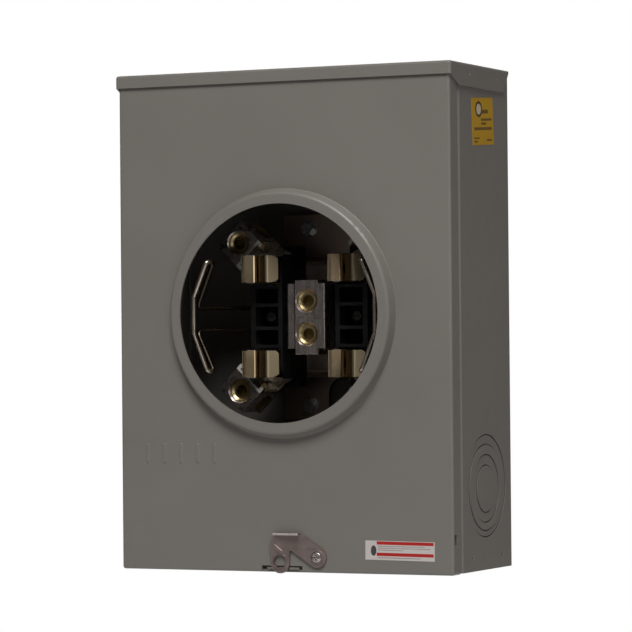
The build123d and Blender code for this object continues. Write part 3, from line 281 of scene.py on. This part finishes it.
# ---- Stickers: shapes are in shares of the sticker's width and height ------------------------
def bar(m, u, v, left, right, bottom, top):
    """1 inside a printed bar."""
    return m.math("MULTIPLY", m.between(u, left, right), m.between(v, bottom, top))


def ring(m, u, v, centre_u, centre_v, half_u, half_v, hollow):
    """1 inside a printed ring; hollow is the open share of its radius, 0 for a disc."""
    across = m.math("DIVIDE", m.math("SUBTRACT", u, centre_u), half_u)
    along = m.math("DIVIDE", m.math("SUBTRACT", v, centre_v), half_v)
    reach = m.math("ADD", m.math("MULTIPLY", across, across), m.math("MULTIPLY", along, along))
    return m.between(reach, hollow * hollow, 1.0)


def sticker(name, node, width, height, level, tilt, ground, marks):
    """A printed sticker with a little grain; its lines run along level, turned up by tilt degrees."""
    m = Shader(name, Roughness=0.42)
    tilt = math.radians(tilt)
    level, plumb = Vector(level), Vector((0, 0, 1))
    right = math.cos(tilt) * level + math.sin(tilt) * plumb
    up = math.cos(tilt) * plumb - math.sin(tilt) * level

    def share(direction, length):
        along = m.vector("DOT_PRODUCT", m.place, direction)["Value"]
        centre = middle(node).dot(direction)
        return m.rescale(along, centre - length / 2, centre + length / 2)

    u, v = share(right, width), share(up, height)
    worn = tuple(0.93 * c for c in ground)
    colour = m.ramp(m.noise(60, detail=4), (0.3, ground), (0.7, worn))
    for shape, outline, ink in marks:
        colour = m.mix(shape(m, u, v, *outline), colour, ink)
    m.link(colour, "Base Color")
    m.bump((m.noise(900), 0.05, 0.0001))
    m.give(node)


YELLOW = (0.42, 0.235, 0.008)
INK = (0.06, 0.035, 0.01)
FADED_INK = (0.13, 0.07, 0.012)
YELLOW_PRINT = [
    (ring, (0.33, 0.76, 0.16, 0.17, 0.0), (0.45, 0.38, 0.26)),
    (ring, (0.33, 0.76, 0.16, 0.17, 0.68), INK),
    (bar, (0.48, 0.76, 0.665, 0.745), FADED_INK),
    (bar, (0.42, 0.92, 0.510, 0.560), FADED_INK),
    (bar, (0.42, 0.66, 0.425, 0.475), FADED_INK),
    (bar, (0.10, 0.92, 0.315, 0.375), FADED_INK),
    (bar, (0.08, 0.33, 0.130, 0.165), FADED_INK),
    (bar, (0.08, 0.25, 0.055, 0.095), FADED_INK),
    (bar, (0.66, 0.92, 0.080, 0.120), FADED_INK),
]
WHITE = (0.50, 0.455, 0.43)
RED = (0.36, 0.012, 0.010)
GREY = (0.24, 0.215, 0.21)
RED_PRINT = [
    (bar, (0.165, 0.985, 0.80, 0.97), RED),
    (bar, (0.165, 0.985, 0.21, 0.38), RED),
    (ring, (0.12, 0.48, 0.04, 0.27, 0.0), (0.05, 0.045, 0.045)),
    (bar, (0.18, 0.86, 0.70, 0.74), GREY),
    (bar, (0.18, 0.94, 0.60, 0.64), GREY),
    (bar, (0.18, 0.55, 0.50, 0.54), GREY),
    (bar, (0.18, 0.80, 0.10, 0.14), GREY),
]


# ---- Each node's finish ----------------------------------------------------------------------
CORNERS = ("upper_left", "upper_right", "lower_left", "lower_right")


def each(stem):
    return [f"{stem}_{corner}" for corner in CORNERS]


paint().give("box_shell", "bottom_wall", "top_cap", "front_cover")
insulator().give("insulator_left", "insulator_right")
galvanized().give("socket_bracket", "neutral_strap")
zinc = metal("zinc_steel", (0.50, 0.50, 0.49), (0.68, 0.68, 0.67), 0.2, 0.32, metallic=0.6)
zinc.give("bracket_screws", "neutral_mount_screws")
black = metal("blackened_steel", (0.03, 0.03, 0.03), (0.06, 0.055, 0.05), 0.35, 0.5)
black.give("block_screws", "bar_screws", "lug_mount_screws")
latch().give("latch")
metal("rivet_steel", (0.56, 0.50, 0.47), (0.70, 0.64, 0.61), 0.24, 0.34).give("latch_rivet")
wire().give("meter_support_left", "meter_support_right")
terminal_bar().give(*each("terminal_bar"))
jaw().give(*each("jaw"))
metal("spring_steel", (0.30, 0.27, 0.24), (0.42, 0.38, 0.33), 0.28, 0.4).give(*each("jaw_spring"))
aluminium = metal(
    "tinned_aluminium", (0.48, 0.415, 0.385), (0.62, 0.545, 0.51), 0.2, 0.34, stretch=(1, 1, 0.12), bump=0.03
)
aluminium.give("neutral_channel", "neutral_body")
for node in each("lug"):
    lug(node).give(node)
set_screw().give(*each("set_screw"), "neutral_set_screw_upper", "neutral_set_screw_lower")
sticker("yellow_sticker", "side_label", 0.041, 0.0348, (0, 1, 0), 4, YELLOW, YELLOW_PRINT)
sticker("warning_sticker", "front_label", 0.055, 0.014, (1, 0, 0), -0.6, WHITE, RED_PRINT)


# ---- Floor: the enclosure hangs on a wall, so the floor is well below it ---------------------
FLOOR_SIZE = 2.4
FLOOR_DROP = 0.30
FLOOR_TONE = (0.85, 0.85, 0.85)


def floor():
    bpy.ops.mesh.primitive_plane_add(size=1, location=(0, 0, cad_bounds[0][2] - FLOOR_DROP))
    made = bpy.context.object
    made.name = "floor"
    made.scale = (FLOOR_SIZE, FLOOR_SIZE, 1)
    m = Shader("floor", Roughness=0.9)
    shade = tuple(0.99 * c for c in FLOOR_TONE)
    m.link(m.ramp(m.noise(2), (0.3, FLOOR_TONE), (0.7, shade)), "Base Color")
    made.data.materials.append(m.material)


floor()


# ---- Light -----------------------------------------------------------------------------------
ROOM_LIGHT = 0.075
LIT_POINT = Vector((0, -0.1, 0))


def room():
    """A dim room, so that the box is dark inside, seen against a plain white backdrop."""
    world = bpy.data.worlds.new("studio")
    bpy.context.scene.world = world
    world.use_nodes = True
    nodes, links = world.node_tree.nodes, world.node_tree.links
    level = nodes.new("ShaderNodeMapRange")
    level.inputs["To Min"].default_value = ROOM_LIGHT
    level.inputs["To Max"].default_value = 1.0
    links.new(nodes.new("ShaderNodeLightPath").outputs["Is Camera Ray"], level.inputs["Value"])
    backdrop = nodes["Background"]
    backdrop.inputs["Color"].default_value = (1, 1, 1, 1)
    links.new(level.outputs["Result"], backdrop.inputs["Strength"])


def softbox(name, turn, rise, distance, size, power):
    """A light aimed at the box's front: turned to the right of straight ahead and raised, in degrees."""
    turn, rise = math.radians(turn), math.radians(rise)
    outward = Vector((math.sin(turn), -math.cos(turn), math.tan(rise))).normalized()
    data = bpy.data.lights.new(name, "AREA")
    data.shape = "RECTANGLE"
    data.size, data.size_y = size
    data.energy = power
    light = bpy.data.objects.new(name, data)
    light.location = LIT_POINT + distance * outward
    light.rotation_euler = (-outward).to_track_quat("-Z", "Y").to_euler()
    bpy.context.scene.collection.objects.link(light)


room()
softbox("key", 20, 50, 2.5, (1.1, 1.1), 66)
softbox("right_strip", 104, 4, 2.0, (0.25, 1.6), 3.4)
softbox("right_fill", 54, 8, 2.6, (0.8, 1.0), 3.2)
softbox("back_fill", 214, 22, 2.6, (1.6, 1.6), 32)


# ---- Camera ----------------------------------------------------------------------------------
CAMERA_PLACE = (1.06765, -2.30988, -0.02832)
CAMERA_YAW, CAMERA_PITCH, CAMERA_ROLL = 25.330, 0.612, -0.509
CAMERA_LENS = 188.48
CAMERA_SENSOR = 36.0

camera = bpy.data.objects.new("camera", bpy.data.cameras.new("camera"))
camera.data.lens = CAMERA_LENS
camera.data.sensor_width = CAMERA_SENSOR
camera.matrix_world = (
    Matrix.Translation(CAMERA_PLACE)
    @ Matrix.Rotation(math.radians(CAMERA_YAW), 4, "Z")
    @ Matrix.Rotation(math.radians(90 + CAMERA_PITCH), 4, "X")
    @ Matrix.Rotation(math.radians(CAMERA_ROLL), 4, "Z")
)
bpy.context.scene.collection.objects.link(camera)
bpy.context.scene.camera = camera
bpy.context.scene.view_settings.view_transform = "Standard"
